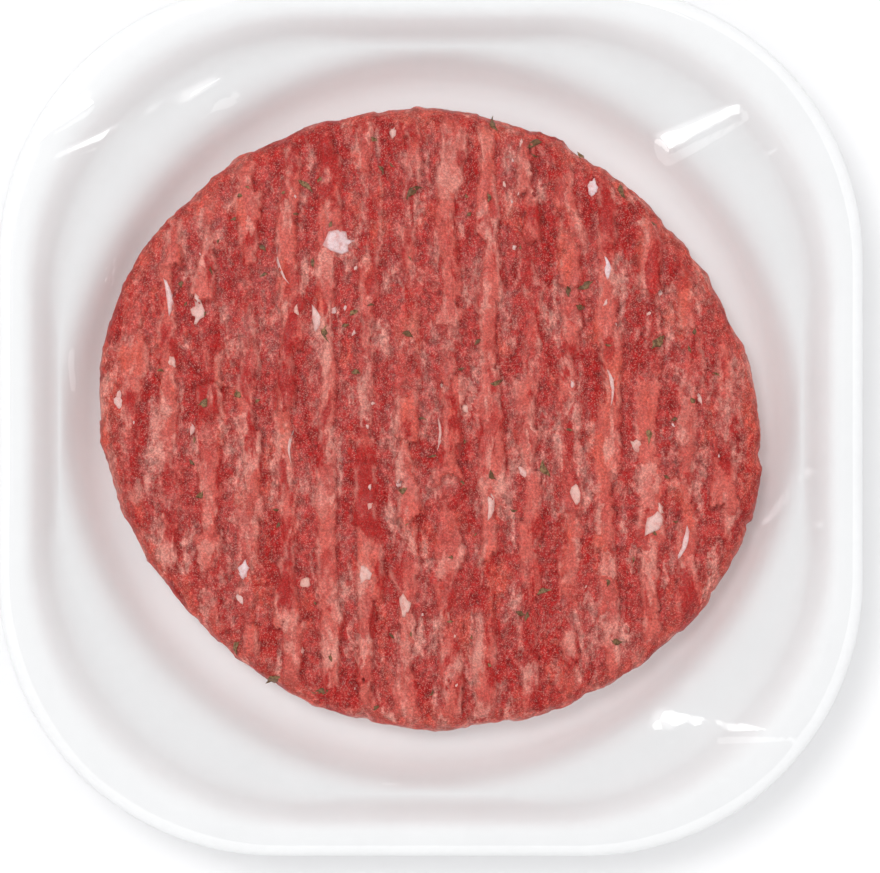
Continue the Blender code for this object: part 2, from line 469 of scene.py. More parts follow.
class PACK_OT_tray(Operator):
    """Build the foam tray: a round well in a rounded square with shelves, rim and lip"""

    bl_idname = "pack.tray"
    bl_label = "Foam tray"

    def execute(self, context):
        look = context.scene.tray_look
        floor = look.base + look.foam
        shelf = look.shelf_height
        under = shelf - look.foam
        rim_inner = TRAY_HALF - look.rim_width
        lip = RIM_TOP - look.lip_drop
        corners = [
            (0.004, floor, 0.0, 0.0),
            (look.well_floor, floor, 0.0, 0.0034),
            (look.well_top, shelf - 0.0006, 0.0, 0.0042, 0.0011),
            (look.shelf_half, shelf, 1.0, 0.0009, 0.0022),
            (rim_inner, RIM_TOP, 1.0, 0.0022, 0.0016),
            (TRAY_HALF, RIM_TOP, 1.0, 0.0021),
            (TRAY_HALF, lip, 1.0, 0.0012),
            (rim_inner + 0.7 * look.foam, lip, 1.0, 0.0009),
            (look.shelf_half + look.foam, under, 1.0, 0.0012),
            (look.well_top + 0.7 * look.foam, under, 0.0, 0.0012),
            (look.well_floor + 0.8 * look.foam, look.base, 0.0, 0.0028),
            (0.004, look.base, 0.0, 0.0),
        ]
        profile = soften(corners, 9, 0.0018)
        rings = level_rings(*profile.T, look.corner_radius, 300)
        verts, faces = closed_loft(rings[::-1])
        out = np.hypot(verts[:, 0], verts[:, 1])
        upper = verts[:, 2] >= floor - 0.0001
        # Share of the painted glow: full in the well, fading out towards its brim.
        painted_glow_share = upper * ease((look.well_top - out) / 0.0030)
        make_piece(
            "tray_shell",
            verts,
            faces,
            foam_material(look),
            "root",
            "tray",
            # well carries the painted glow, below carries the painted shade of the foam.
            {"well": painted_glow_share, "below": ease((RIM_TOP - verts[:, 2] - 0.0003) / 0.0045)},
        )
        return {"FINISHED"}


# ---------------------------------------------------------------- burger


def patty_reach(look, angle):
    """Distance from the burger's middle to its edge: a circle made oval and a little square,
    with a slow, uneven wobble and small chunks that stick out."""
    oval = look.oval * np.cos(2.0 * (angle + 0.40))
    square = look.square * np.cos(4.0 * (angle + 0.20))
    wobble = 0.00035 * layered(7.0 * np.cos(angle) + 20.0, 7.0 * np.sin(angle) + 20.0, 3, 3)
    _, gap, tone = lumps(6.0 * np.cos(angle) + 40.0, 6.0 * np.sin(angle) + 40.0, 5)
    chunks = 0.0009 * (tone - 0.5) * ease(gap / 0.18)
    return look.radius + oval + square + wobble + chunks


def patty_levels(look):
    """Heights of the burger's underside, of its widest place and of its grooves."""
    bottom = float(PATTY_BOX[0, 2])
    top = float(PATTY_BOX[1, 2]) - look.rib_height - 0.0003
    return bottom, bottom + 0.45 * (top - bottom), top


def rib_relief(look, x, y):
    """The ribs' share of height at places x and y in millimetres.

    Each rib is cut into lengths along Y. Every length has its own sideways shift, width and
    height, its sides are ragged, and it is slightly crowned. Returns how far a place is on a
    rib (0 to 1), the height on the rib, how near it is to the foot of the rib, where the meat
    is dented and a painted shadow falls, stronger on the right, away from the light, and how
    near it is to the lip along its edge, which is raised a little and painted as a highlight.
    """
    pitch = look.rib_pitch / MM
    half = look.rib_half / MM
    middle = 0.5 * (look.rib_count - 1)
    row = np.clip(np.round(x / pitch + middle), 0, look.rib_count - 1)
    jag = 2.0 * noise(x * 0.8 + 3.0, y * 0.4, 11) + 0.7 * noise(x * 2.1, y * 1.3, 21)
    span = 5.5 + 10.0 * scramble(row, 0 * row, 12)
    along = (y + jag + 60.0 + 30.0 * scramble(row, 0 * row, 13)) / span
    part = np.floor(along)
    along = along - part
    along = np.where(scramble(row, part, 22) < 0.5, along, 1.0 - along)
    shift = 1.5 * (scramble(row, part, 14) - 0.5)
    taper = 1.0 + 0.9 * scramble(row, part, 23) * (along - 0.62)
    width = (0.72 + 0.62 * scramble(row, part, 15)) * taper
    lift = (0.15 + 1.1 * scramble(row, part, 16)) * (0.72 + 0.38 * along)
    wander = 0.35 * noise(row * 7.3, y / 12.0, 17)
    ragged = 0.34 * noise(x * 0.6, y / 1.8, 19) + 0.30 * noise(x * 1.3, y / 0.7, 20)
    centre = (row - middle) * pitch + shift + wander
    aside = np.abs(x - centre)
    edge = half * width + ragged
    present = 0.30 + 0.70 * ease(1.8 * scramble(row, part, 24))
    on_rib = present * ease((edge + 0.25 - aside) / 0.5)
    crown = 0.20 * (1.0 - np.clip(aside / np.maximum(edge, 0.4), 0.0, 1.0) ** 2)
    # Painted shadow: the shadow painted at the rib's foot is stronger on its right side, away from
    # the light.
    shaded = 0.35 + 0.65 * ease((x - centre + 0.5) / 1.0)
    crease_painted_shadow = shaded * np.exp(-(((aside - edge - 0.30) / 0.28) ** 2))
    # Lip: a slight raise just inside the rib's edge, also the mask of a painted highlight where the
    # edge catches the light.
    lip = np.exp(-(((aside - edge + 0.20) / 0.28) ** 2))
    return on_rib, on_rib * (lift + crown), crease_painted_shadow, lip


def meat_relief(look, x, y, inward):
    """Height of the meat over a flat top, in metres, and the masks that colour it.

    x, y and inward, the distance from the edge, are in millimetres. Ribs fade out near the
    edge. Strands are packed lumps drawn out along Y, with valleys between them; a finer set
    of lumps and noise roughens the grooves more than the ribs.
    """
    warp_x = x + 0.9 * layered(x / 2.4, y / 3.0, 41, 3)
    warp_y = y + 1.8 * layered(x / 2.0, y / 3.4, 42, 3)
    on_rib, rib, crease_painted_shadow, lip = rib_relief(look, x, y)
    fade = ease((inward - 1.2) / 2.6)
    _, gap, tone = lumps(warp_x / 2.1, warp_y / 4.4, 43)
    strand = ease(gap / 0.4)
    _, small_gap, small_tone = lumps(warp_x / 0.8, warp_y / 1.3, 44)
    small = ease(small_gap / 0.5)
    swell = layered(x / 2.2, y / 4.5, 47, 2)
    rough = layered(x / 0.8, y / 1.3, 45, 3)
    height = look.rib_height / MM * rib * fade
    height += 0.22 * (tone - 0.5) * strand + 0.30 * swell
    height += (0.03 + 0.10 * (1.0 - on_rib)) * (small - 0.6)
    height += (0.10 + 0.16 * (1.0 - on_rib)) * rough
    broken = ease(0.45 + 1.3 * noise(x / 3.0, y / 4.0, 46))
    # The masks at the ribs' feet and lips also colour the meat: painted shadow and painted
    # highlight.
    crease_painted_shadow = crease_painted_shadow * broken * fade
    lip = lip * ease(0.2 + 1.4 * noise(x / 3.0 + 9.0, y / 3.2, 48)) * fade
    height += 0.18 * lip - 0.50 * crease_painted_shadow
    masks = {
        "rib": on_rib * fade,
        "crease_painted_shadow": crease_painted_shadow,
        "lip": lip,
        "strand": tone,
        "bit": small_tone,
        "edge": 1.0 - ease(inward / 4.2),
    }
    return height * MM, masks


def beef_material(look):
    """Raw minced beef: salmon ribs, dull grainy grooves, deep red creases with painted shadow,
    pale painted highlights along the ribs' lips, coral edge, and pale or mauve patches;
    uneven soft gloss and only a faint bump."""
    material, nodes, shader = new_material("Raw minced beef")
    place = nodes.object_place()
    drawn = nodes.object_place((1.0, 0.42, 1.0))
    rib = nodes.attribute("rib")
    strand = nodes.attribute("strand")
    bit = nodes.attribute("bit")
    uneven = nodes.between(nodes.noise(drawn, 420.0, 4.0, 0.6), 0.34, 0.54, 0.45, 1.0)
    body = nodes.mix(
        nodes.math("MULTIPLY", rib, uneven), tuple(look.groove_colour), tuple(look.rib_colour)
    )
    off_rib = nodes.math("SUBTRACT", 1.0, nodes.math("MULTIPLY", rib, 0.75))
    mauve = nodes.between(nodes.noise(drawn, 260.0, 4.0, 0.6), 0.44, 0.60)
    mauve = nodes.math("MULTIPLY", mauve, off_rib)
    body = nodes.mix(nodes.math("MULTIPLY", mauve, 0.8), body, tuple(look.mauve_colour))
    edge = nodes.math("MULTIPLY", nodes.attribute("edge"), 0.6)
    body = nodes.mix(edge, body, tuple(look.coral_colour))
    coral = nodes.between(nodes.noise(drawn, 150.0, 4.0, 0.6), 0.52, 0.66, 0.0, 0.7)
    body = nodes.mix(coral, body, tuple(look.coral_colour))
    pale = nodes.between(strand, 0.82, 0.98, 0.0, 0.6)
    pale = nodes.math("MULTIPLY", pale, nodes.between(bit, 0.1, 0.7, 0.3, 1.0))
    patch = nodes.between(nodes.noise(drawn, 260.0, 5.0, 0.68, 0.4), 0.50, 0.66, 0.0, 0.8)
    body = nodes.mix(nodes.math("MAXIMUM", pale, patch), body, tuple(look.pale_colour))
    red = nodes.between(nodes.noise(drawn, 170.0, 5.0, 0.65, 0.5), 0.51, 0.60)
    red = nodes.math("MAXIMUM", red, nodes.between(strand, 0.16, 0.04, 0.0, 0.7))
    # Painted shadow: deep red painted into the foot of each rib.
    red = nodes.math("MAXIMUM", red, nodes.attribute("crease_painted_shadow"))
    body = nodes.mix(nodes.math("MULTIPLY", red, 0.9), body, tuple(look.deep_colour))
    # Painted highlight: pale pink painted along the ribs' lips.
    lip = nodes.math("MULTIPLY", nodes.attribute("lip"), 0.5)
    body = nodes.mix(lip, body, tuple(look.pale_colour))
    value, height = add_grain(nodes, place, 2700.0, 0.62, 1.20)
    clotted = nodes.object_place((1.0, 0.75, 1.0))
    mottle = nodes.between(nodes.noise(clotted, 800.0, 4.0, 0.65), 0.36, 0.64, 0.56, 1.16)
    mottle = nodes.math("MULTIPLY_ADD", nodes.math("SUBTRACT", mottle, 1.0), off_rib)
    mottle.node.inputs[2].default_value = 1.0
    body = nodes.mix(1.0, body, nodes.math("MULTIPLY", value, mottle), "MULTIPLY")
    clot = nodes.between(nodes.noise(clotted, 1100.0, 3.0, 0.6, 0.4), 0.54, 0.66, 0.0, 0.6)
    clot = nodes.math("MULTIPLY", clot, off_rib)
    body = nodes.mix(clot, body, tuple(look.deep_colour))
    crumb = nodes.add("ShaderNodeTexVoronoi")
    nodes.link(place, crumb.inputs["Vector"])
    crumb.inputs["Scale"].default_value = 6000.0
    crumb = crumb.outputs["Color"]
    speckled = nodes.math("MULTIPLY_ADD", off_rib, 0.8)
    speckled.node.inputs[2].default_value = 0.15
    salt = nodes.math("MULTIPLY", nodes.between(crumb, 0.55, 0.95, 0.0, 0.42), speckled)
    body = nodes.mix(salt, body, tuple(look.pale_colour))
    pepper = nodes.math("MULTIPLY", nodes.between(crumb, 0.45, 0.05, 0.0, 0.45), speckled)
    body = nodes.mix(pepper, body, tuple(look.deep_colour))
    nodes.put(shader.inputs["Base Color"], body)
    gloss = nodes.between(nodes.noise(place, 420.0, 2.0), 0.35, 0.7, 0.30, 0.52)
    nodes.put(shader.inputs["Roughness"], gloss)
    bump = nodes.add("ShaderNodeBump")
    bump.inputs["Distance"].default_value = 0.00012
    bump.inputs["Strength"].default_value = 0.5
    nodes.link(height, bump.inputs["Height"])
    nodes.link(bump.outputs["Normal"], shader.inputs["Normal"])
    shader.inputs["IOR"].default_value = 1.4
    shader.inputs["Specular IOR Level"].default_value = 0.22
    shader.inputs["Subsurface Weight"].default_value = 0.05
    shader.inputs["Subsurface Radius"].default_value = (1.0, 0.3, 0.2)
    shader.inputs["Subsurface Scale"].default_value = 0.0015
    return material


def patty_surface(look, cells):
    """The burger's whole skin: a square grid pressed into a disc and wrapped round the edge.

    A grid place (u, v) goes to (u sqrt(1 - v^2 / 2), v sqrt(1 - u^2 / 2)) on a unit disc. The
    inner part of the disc is the flat top; the outer part rolls over the edge on an arc, down
    the side and in under it. The relief then pushes each point out along the skin's own
    direction. Returns points (cells + 1, cells + 1, 3) and the masks.
    """
    line = np.linspace(-1.0, 1.0, cells + 1)
    u, v = np.meshgrid(line, line, indexing="ij")
    disc_x = u * np.sqrt(1.0 - 0.5 * v**2)
    disc_y = v * np.sqrt(1.0 - 0.5 * u**2)
    share_out = np.clip(np.hypot(disc_x, disc_y), 0.0, 1.0)
    angle = np.arctan2(disc_y, disc_x)
    reach = patty_reach(look, angle)
    bottom, waist, top = patty_levels(look)
    flat_share = 0.865
    rolled = np.clip((share_out - flat_share) / (1.0 - flat_share), 0.0, 1.0)
    turn = rolled * 0.86 * np.pi
    rise = np.where(turn < 0.5 * np.pi, top - waist, waist - bottom)
    lowest = -np.cos(0.86 * np.pi)
    height = waist + rise * np.cos(turn) / np.where(turn < 0.5 * np.pi, 1.0, lowest)
    flat_reach = reach - look.rounding
    out = np.where(
        share_out < flat_share,
        flat_reach * share_out / flat_share,
        flat_reach + look.rounding * np.sin(turn) ** 0.9,
    )
    x = out * np.cos(angle)
    y = out * np.sin(angle)
    inward = np.where(turn < 0.5 * np.pi, (reach - out) / MM, 0.0)
    depth = (top - height) / MM
    relief, masks = meat_relief(look, x / MM, y / MM + 0.6 * depth, inward)
    on_side = ease(turn / (0.5 * np.pi))
    clumps = layered(reach * angle / MM / 3.2 + 9.0, depth / 2.6, 61, 3)
    push = relief * (1.0 - 0.55 * on_side) + 0.0004 * clumps * on_side
    push *= 1.0 - ease((turn - 0.70 * np.pi) / (0.16 * np.pi))
    lean = np.sin(turn)
    points = np.stack(
        (
            x + push * lean * np.cos(angle) + PATTY_CENTRE[0],
            y + push * lean * np.sin(angle) + PATTY_CENTRE[1],
            height + push * np.cos(turn),
        ),
        axis=-1,
    )
    return points, masks


def border_loop(size):
    """Indices round the border of a size by size grid, in one direction."""
    side = np.arange(size)
    return np.concatenate(
        (
            side[:-1] * size,
            (size - 1) * size + side[:-1],
            side[:0:-1] * size + size - 1,
            side[:0:-1],
        )
    )


class PACK_OT_patty(Operator):
    """Build the ribbed burger of raw minced beef"""

    bl_idname = "pack.patty"
    bl_label = "Burger"

    def execute(self, context):
        look = context.scene.patty_look
        cells = 300
        points, masks = patty_surface(look, cells)
        verts = points.reshape(-1, 3)
        faces = grid_faces(cells + 1, cells + 1, wrap=False)[:, ::-1].tolist()
        loop = border_loop(cells + 1)
        middle = verts[loop].mean(axis=0)
        after = np.roll(loop, -1)
        hub = np.full(len(loop), len(verts))
        faces += np.column_stack((hub, loop, after)).tolist()
        verts = np.vstack((verts, middle))
        values = {key: np.append(mask.ravel(), 0.0) for key, mask in masks.items()}
        make_piece(
            "patty_body", verts, faces, beef_material(look), "root", "patty", values
        )
        return {"FINISHED"}


# ---------------------------------------------------------------- fat and herbs


def meat_top(look, x, y):
    """Height of the burger's skin at places x and y, in metres from its middle: its flat top
    or its rounded edge, with the relief of the meat."""
    _, waist, top = patty_levels(look)
    inward = patty_reach(look, np.arctan2(y, x)) - np.hypot(x, y)
    lean = np.clip(1.0 - inward / look.rounding, 0.0, 1.0) ** (1.0 / 0.9)
    upright = np.sqrt(1.0 - lean**2)
    relief, _ = meat_relief(look, x / MM, y / MM, inward / MM)
    return waist + (top - waist) * upright + relief * upright


def draped_bits(look, places, sizes, heading, bend, pointed, ragged, lift):
    """Small closed bits that hug the meat, as vertices, faces and nearness to the outline.

    Each bit is a ball of rings drawn out to its length, width and height, with a ragged
    outline that narrows towards pointed ends. Its line bends sideways by bend x^2 / length,
    it turns by its heading, and every point then stands on the meat right under it.
    """
    rings, columns = 4, 13
    count = len(places)
    down = np.pi * (np.arange(rings) + 1.0) / (rings + 1.0)
    round_it = 2.0 * np.pi * np.arange(columns) / columns
    around = np.broadcast_to(round_it, (rings, columns)).ravel()
    flat = np.repeat(np.sin(down), columns)
    ball = np.stack((flat * np.cos(around), flat * np.sin(around)), axis=-1)
    ball = np.vstack((ball, (0.0, 0.0), (0.0, 0.0)))
    tall = np.append(np.repeat(np.cos(down), columns), (1.0, -1.0))
    around = np.append(around, (0.0, 0.0))
    number = np.arange(count)[:, None]
    wild = 1.0 + ragged * noise(
        number * 7.7 + 2.3 * np.cos(around), number * 3.9 + 2.3 * np.sin(around), 71
    )
    along = ball[:, 0] * wild
    aside = ball[:, 1] * wild * (1.0 - pointed * np.abs(ball[:, 0]) ** 1.5)
    x = 0.5 * sizes[:, :1] * along
    y = 0.5 * sizes[:, 1:2] * aside + bend[:, None] * along**2 * sizes[:, :1]
    turn_cos = np.cos(heading)[:, None]
    turn_sin = np.sin(heading)[:, None]
    place_x = places[:, :1] + x * turn_cos - y * turn_sin
    place_y = places[:, 1:2] + x * turn_sin + y * turn_cos
    place_z = meat_top(look, place_x, place_y) + 0.5 * sizes[:, 2:3] * tall + lift
    verts = np.stack((place_x, place_y, place_z), axis=-1)
    verts[..., :2] += PATTY_CENTRE[:2]
    each = rings * columns + 2
    k = np.arange(columns)
    after = (k + 1) % columns
    middle = grid_faces(rings, columns, wrap=True)
    last = (rings - 1) * columns
    crown = np.column_stack((np.full(columns, each - 2), k, after))
    foot = np.column_stack((np.full(columns, each - 1), last + after, last + k))
    shifts = each * np.arange(count)[:, None, None]
    quads = (middle[:, ::-1][None] + shifts).reshape(-1, 4).tolist()
    ends = (np.vstack((crown, foot))[None] + shifts).reshape(-1, 3).tolist()
    outline = np.tile(np.append(flat, (0.0, 0.0)), count)
    return verts.reshape(-1, 3), quads + ends, outline


def spread_out(look, count, seed):
    """Seeded places all over the burger's top, in metres from its middle."""
    k = np.arange(count)
    angle = 2.0 * np.pi * scramble(k, 0 * k, seed)
    far = (look.radius - 0.0035) * np.sqrt(scramble(k, 0 * k + 1, seed))
    return np.column_stack((far * np.cos(angle), far * np.sin(angle)))


def fat_material(look):
    """Soft fat, from lilac white to pale pink, with a faint grain and a soft gloss."""
    material, nodes, shader = new_material("Beef fat")
    place = nodes.object_place()
    tone = nodes.attribute("tone")
    body = nodes.mix(tone, tuple(look.lilac_colour), tuple(look.fat_colour))
    stain = nodes.between(nodes.noise(place, 900.0, 3.0, 0.6), 0.45, 0.68, 0.0, 0.55)
    border = nodes.between(nodes.attribute("outline"), 0.78, 1.0, 0.0, 0.7)
    stain = nodes.math("MAXIMUM", stain, border)
    body = nodes.mix(stain, body, tuple(look.stain_colour))
    value, height = add_grain(nodes, place, 2600.0, 0.86, 1.06)
    nodes.put(shader.inputs["Base Color"], nodes.mix(1.0, body, value, "MULTIPLY"))
    nodes.put(shader.inputs["Roughness"], nodes.between(height, 0.3, 0.7, 0.35, 0.6))
    shader.inputs["IOR"].default_value = 1.4
    shader.inputs["Specular IOR Level"].default_value = 0.4
    shader.inputs["Subsurface Weight"].default_value = 0.15
    shader.inputs["Subsurface Radius"].default_value = (1.0, 0.4, 0.3)
    shader.inputs["Subsurface Scale"].default_value = 0.001
    return material


def herb_material(look):
    """Dried herb: olive green, darker and browner in patches."""
    material, nodes, shader = new_material("Dried herb")
    place = nodes.object_place()
    patch = nodes.between(nodes.noise(place, 1900.0, 3.0, 0.6), 0.38, 0.62)
    patch = nodes.math("MULTIPLY", patch, nodes.attribute("tone"))
    body = nodes.mix(patch, tuple(look.herb_dark), tuple(look.herb_colour))
    nodes.put(shader.inputs["Base Color"], body)
    nodes.put(shader.inputs["Roughness"], nodes.between(patch, 0.0, 1.0, 0.45, 0.65))
    shader.inputs["Specular IOR Level"].default_value = 0.3
    return material


class PACK_OT_fat(Operator):
    """Set the bits, slivers and strands of fat into the burger's top"""

    bl_idname = "pack.fat"
    bl_label = "Fat"

    def execute(self, context):
        look = context.scene.topping_look
        patty = context.scene.patty_look
        # place x, y, length, width, height, heading, bend and tone, lengths in millimetres
        marked = np.array(
            (
                (-15.8, 30.5, 4.3, 3.7, 1.2, 0.2, 0.0, 0.10),
                (-40.1, 18.8, 3.6, 2.0, 0.7, 1.5, 0.1, 0.70),
                (39.4, -18.1, 3.4, 1.9, 0.7, 1.2, 0.1, 0.60),
                (-4.2, -32.4, 3.0, 1.6, 0.6, 1.7, 0.0, 0.80),
                (-11.1, -26.9, 2.8, 1.5, 0.6, 1.4, 0.1, 0.75),
                (25.7, -12.9, 2.6, 1.5, 0.6, 1.6, 0.0, 0.80),
                (10.9, -15.1, 3.2, 1.2, 0.6, 1.5, 0.1, 0.70),
                (-19.5, 17.5, 3.6, 1.3, 0.6, 1.7, 0.1, 0.55),
                (-54.0, 3.3, 2.4, 1.6, 0.6, 1.5, 0.0, 0.60),
                (31.2, 26.1, 3.0, 1.0, 0.6, 1.6, 0.1, 0.00),
                (28.7, 40.3, 2.4, 1.3, 0.6, 1.4, 0.1, 0.00),
                (-32.2, -26.1, 2.6, 1.3, 0.6, 1.6, 0.0, 0.05),
                (-45.1, 21.5, 5.6, 0.9, 0.7, 1.7, 0.1, 0.30),
                (44.7, -21.5, 4.8, 0.8, 0.7, 1.3, 0.1, 0.30),
                (-26.1, 26.6, 5.4, 0.40, 0.5, -1.25, 0.12, 0.50),
                (31.9, 6.3, 5.0, 0.45, 0.5, 1.75, 0.10, 0.50),
                (-24.3, -4.4, 5.2, 0.40, 0.5, 1.45, -0.12, 0.60),
                (2.0, -3.0, 4.0, 0.50, 0.5, 1.5, 0.08, 0.70),
            )
        )
        count = look.fat_count
        k = np.arange(count)
        size = look.fat_size * (0.35 + 0.95 * scramble(k, 0 * k, 82) ** 1.6)
        narrow = 0.35 + 0.45 * scramble(k, 0 * k, 83)
        spread = np.column_stack((size, size * narrow, 0.25 * size + 0.0002))
        places = np.vstack((marked[:, :2] * MM, spread_out(patty, count, 81)))
        sizes = np.vstack((marked[:, 2:5] * (1.35 * MM, 1.35 * MM, MM), spread))
        heading = np.append(marked[:, 5], 1.55 + 1.3 * (scramble(k, 0 * k, 84) - 0.5))
        bend = np.append(marked[:, 6], 0.3 * (scramble(k, 0 * k, 85) - 0.5))
        tone = np.append(marked[:, 7], 0.4 + 0.6 * scramble(k, 0 * k, 86))
        verts, faces, outline = draped_bits(
            patty, places, sizes, heading, bend, 0.45, 0.42, -0.00006
        )
        tones = {"tone": np.repeat(tone, len(verts) // len(tone)), "outline": outline}
        make_piece(
            "fat_bits", verts, faces, fat_material(look), "root", attributes=tones
        )
        return {"FINISHED"}


class PACK_OT_herbs(Operator):
    """Strew the flecks of dried herb over the burger's top"""

    bl_idname = "pack.herbs"
    bl_label = "Herbs"

    def execute(self, context):
        look = context.scene.topping_look
        patty = context.scene.patty_look
        # the largest flecks, x and y in millimetres from the burger's middle
        marked = np.array(
            (
                (-20.2, 27.3),
                (-18.3, 15.1),
                (-3.7, 15.0),
                (-3.0, 39.8),
                (-39.1, 2.8),
                (-21.5, 41.0),
                (18.3, 48.2),
                (26.8, 46.0),
                (11.1, 51.5),
                (24.3, 22.4),
                (27.3, 23.2),
                (39.8, 13.4),
                (12.0, 6.3),
                (33.5, 40.0),
                (-39.8, -13.2),
                (-18.7, -47.5),
                (-27.3, -45.5),
                (-33.8, -39.5),
                (17.1, -34.3),
                (32.7, -38.8),
                (10.9, -9.9),
                (38.4, -2.8),
                (19.9, -8.6),
                (19.9, -29.8),
            )
        )
        places = np.vstack((marked * MM, spread_out(patty, look.herb_count, 91)))
        count = len(places)
        k = np.arange(count)
        large = np.where(k < len(marked), 1.0, 0.5)
        size = look.herb_size * large * (0.75 + 0.75 * scramble(k, 0 * k, 92))
        narrow = 0.30 + 0.35 * scramble(k, 0 * k, 93)
        sizes = np.column_stack((size, size * narrow, 0.0 * size + 0.00022))
        heading = 2.0 * np.pi * scramble(k, 0 * k, 94)
        bend = 0.5 * (scramble(k, 0 * k, 95) - 0.5)
        verts, faces, outline = draped_bits(
            patty, places, sizes, heading, bend, 0.75, 0.45, 0.00007
        )
        tone = 0.25 + 0.75 * scramble(k, 0 * k, 96)
        tones = {"tone": np.repeat(tone, len(verts) // count)}
        make_piece(
            "herb_flecks", verts, faces, herb_material(look), "root", attributes=tones
        )
        return {"FINISHED"}


# ---------------------------------------------------------------- film


def film_material(look):
    """Clear stretch film: it mirrors a small share of the light, more when seen aslant, and
    lets the rest straight through."""
    material, nodes, shader = new_material("Clear stretch film")
    facing = nodes.add("ShaderNodeLayerWeight")
    facing.inputs["Blend"].default_value = 0.5
    aslant = nodes.math("POWER", facing.outputs["Facing"], 5.0)
    alpha = nodes.math("MULTIPLY_ADD", aslant, 0.4)
    alpha.node.inputs[2].default_value = look.mirror
    nodes.put(shader.inputs["Alpha"], alpha)
    shader.inputs["Base Color"].default_value = (1.0, 1.0, 1.0, 1.0)
    shader.inputs["Metallic"].default_value = 1.0
    shader.inputs["Roughness"].default_value = 0.08
    return material


def fold_relief(x, y):
    """Height of the film's folds at places x and y, all in millimetres.

    Each fold has a crest from (x0, y0) to (x1, y1). From the crest the film falls away on the
    left at a gentle slope over a width that changes along the crest, and on the right it
    drops steeply. Height is slope times width, and it fades out at both ends.
    """
    folds = (
        (39.5, 45.0, 55.5, 53.2, 4.6, 2.6, 0.25),
        (50.5, 41.5, 62.0, 46.5, 1.0, 1.2, 0.27),
        (38.0, -54.8, 67.5, -54.8, 5.2, 0.7, 0.22),
        (43.0, -46.5, 57.0, -49.0, 1.0, 1.2, 0.24),
        (-67.0, 44.0, -32.0, 57.4, 0.6, 5.0, 0.26),
        (-69.0, 47.5, -58.0, 54.5, 1.2, 2.4, 0.26),
        (-62.4, 4.0, -63.6, 27.0, 1.0, 1.3, 0.45),
        (-55.8, 22.0, -55.0, 32.0, 0.9, 0.9, 0.45),
        (57.5, -20.0, 67.0, -9.0, 1.4, 2.2, 0.12),
        (60.5, -27.5, 69.0, -18.0, 1.2, 1.8, 0.12),
        (-60.0, -55.5, -48.0, -52.0, 0.9, 1.3, 0.24),
        (-20.0, -63.5, 4.0, -65.5, 0.8, 1.0, 0.20),
    )
    total = np.zeros(x.shape)
    for x0, y0, x1, y1, wide_start, wide_end, slope in folds:
        run = np.hypot(x1 - x0, y1 - y0)
        step_x = (x1 - x0) / run
        step_y = (y1 - y0) / run
        along = ((x - x0) * step_x + (y - y0) * step_y) / run
        aside = (y - y0) * step_x - (x - x0) * step_y
        wide = wide_start + (wide_end - wide_start) * np.clip(along, 0.0, 1.0)
        left = 1.0 - aside / wide
        right = 1.0 + aside / (0.35 * wide)
        ends = ease(along / 0.12) * ease((1.0 - along) / 0.12)
        rise = slope * wide * np.clip(np.minimum(left, right), 0.0, 1.0) * ends
        total = np.maximum(total, rise)
    return total


def refine(profile, low, high, pieces):
    """Adds evenly spaced points between a profile's points whose half sizes lie in a range."""
    steps = np.arange(len(profile))
    inside = (profile[:-1, 0] > low) & (profile[1:, 0] < high) & (profile[:-1, 1] > 0.5 * RIM_TOP)
    inside |= (profile[1:, 0] > low) & (profile[:-1, 0] < high) & (profile[1:, 1] > 0.8 * RIM_TOP)
    extra = steps[:-1][inside][:, None] + np.arange(1, pieces)[None, :] / pieces
    places = np.sort(np.append(steps, extra.ravel()))
    return np.column_stack([np.interp(places, steps, column) for column in profile.T])


class PACK_OT_film(Operator):
    """Wrap the pack in clear film: over the rim, down to the burger, round and under the base"""

    bl_idname = "pack.film"
    bl_label = "Stretch film"

    def execute(self, context):
        look = context.scene.film_look
        tray = context.scene.tray_look
        skin = 0.00012
        side = TRAY_HALF + skin
        over_rim = RIM_TOP + skin
        top = PATTY_BOX[1, 2] + 0.0002
        base_edge = tray.well_floor + 0.8 * tray.foam
        corners = [
            (look.window, tray.base - skin, 0.0, 0.0),
            (base_edge, tray.base - skin, 0.0, 0.0030),
            (side, RIM_TOP - tray.lip_drop - 0.0002, 1.0, 0.0014),
            (side, over_rim, 1.0, 0.0023),
            (TRAY_HALF - tray.rim_width, over_rim, 1.0, 0.0022),
            (look.flat, top, 0.0, 0.0050),
            (0.004, top, 0.0, 0.0),
        ]
        count = 520
        middle = refine(soften(corners, 6, 0.0034), 0.90 * look.flat, TRAY_HALF - 0.003, 4)
        above = (middle[:, 1] > top - 0.0001)[:, None]
        walls = []
        for distance in (-0.5 * look.wall, 0.5 * look.wall):
            rings = level_rings(*offset(middle, distance).T, tray.corner_radius, count)
            x, y = rings[:, :, 0], rings[:, :, 1]
            bearing = np.arctan2(y, x)
            pleat = np.abs(noise(26.0 * np.cos(bearing), 26.0 * np.sin(bearing), 73))
            pleat = look.pleat * pleat * ease((RIM_TOP - 0.001 - rings[:, :, 2]) / 0.003)
            rings[:, :, 2] += MM * fold_relief(x / MM, y / MM) * above
            rings[:, :, :2] *= 1.0 + (pleat / np.hypot(x, y))[:, :, None]
            walls.append(rings)
        rings = np.concatenate((walls[0][::-1], walls[1]))
        verts, faces = closed_loft(rings[::-1])
        make_piece("film_wrap", verts, faces, film_material(look), "root", "film")
        return {"FINISHED"}


# ---------------------------------------------------------------- stage


def show_only_in_mirrors(item):
    """Hides a stage piece from the camera and from plain light, so only gloss shows it."""
    item.visible_camera = False
    item.visible_diffuse = False
    item.visible_shadow = False
    item.visible_transmission = False


